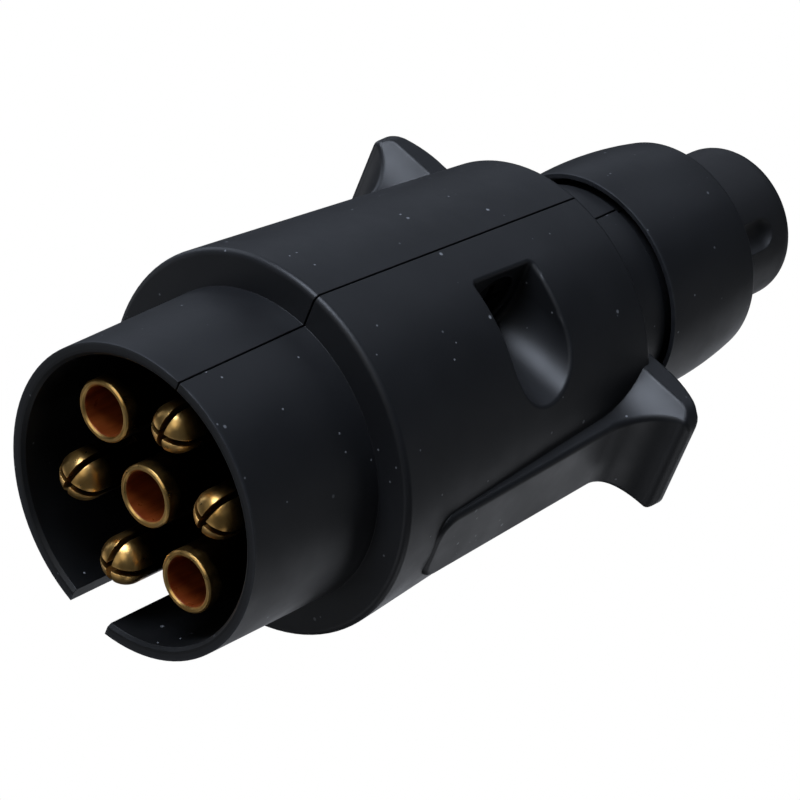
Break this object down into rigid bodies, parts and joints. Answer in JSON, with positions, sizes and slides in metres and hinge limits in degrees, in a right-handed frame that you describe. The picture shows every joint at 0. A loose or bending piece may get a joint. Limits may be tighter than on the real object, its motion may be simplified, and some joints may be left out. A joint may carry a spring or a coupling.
{
  "type": "trailer wiring plug",
  "caption": "Round black trailer wiring plug with brass pins and tubes in a keyed sleeve, two grip wings, and a screwed cable gland with a rubber boot.",
  "frame": {"origin": "centre of the mating sleeve's front rim", "axes": "+Y along the plug towards the cable, +Z opposite the keyway, +X to the right wing; the housing is split on the plane X = 0"},
  "size_m": [0.0518, 0.101, 0.0444],
  "materials": {
    "black_plastic": "satin black moulded plastic, fine grain",
    "insert_plastic": "black insulating plastic",
    "slip_plastic": "natural nylon",
    "contact_brass": "turned brass",
    "screw_brass": "nickel-free brass screws",
    "boot_rubber": "matt black rubber",
    "zinc_steel": "zinc-plated steel"
  },
  "bodies": {
    "plug": {"cable_clamp": "black_plastic", "clamp_screws": "zinc_steel", "contact_carrier": "insert_plastic", "contact_retainer": "insert_plastic", "housing_left": "black_plastic", "housing_nuts": "zinc_steel", "housing_right": "black_plastic", "housing_screws": "zinc_steel", "pin_contact_bottom": "contact_brass", "pin_contact_lower_left": "contact_brass", "pin_contact_top": "contact_brass", "pin_contact_upper_right": "contact_brass", "retainer_screws": "zinc_steel", "socket_contact_centre": "contact_brass", "socket_contact_lower_right": "contact_brass", "socket_contact_upper_left": "contact_brass", "terminal_screws": "screw_brass"},
    "gland": {"cable_boot": "boot_rubber", "slip_ring": "slip_plastic"},
    "nut": {"union_nut": "black_plastic"}
  },
  "joints": [
    {"name": "gland_slide", "type": "slide", "parent": "plug", "child": "gland", "axis": [0, 1, 0], "range_m": [0, 0.0076]},
    {"name": "nut_turn", "type": "hinge", "parent": "gland", "child": "nut", "pos_m": [0, 0.08, 0], "axis": [0, 1, 0], "range_deg": [0, 1080]}
  ],
  "couplings": [
    {"joint": "gland_slide", "follows": "nut_turn", "m_per_rad": 0.00039789}
  ]
}
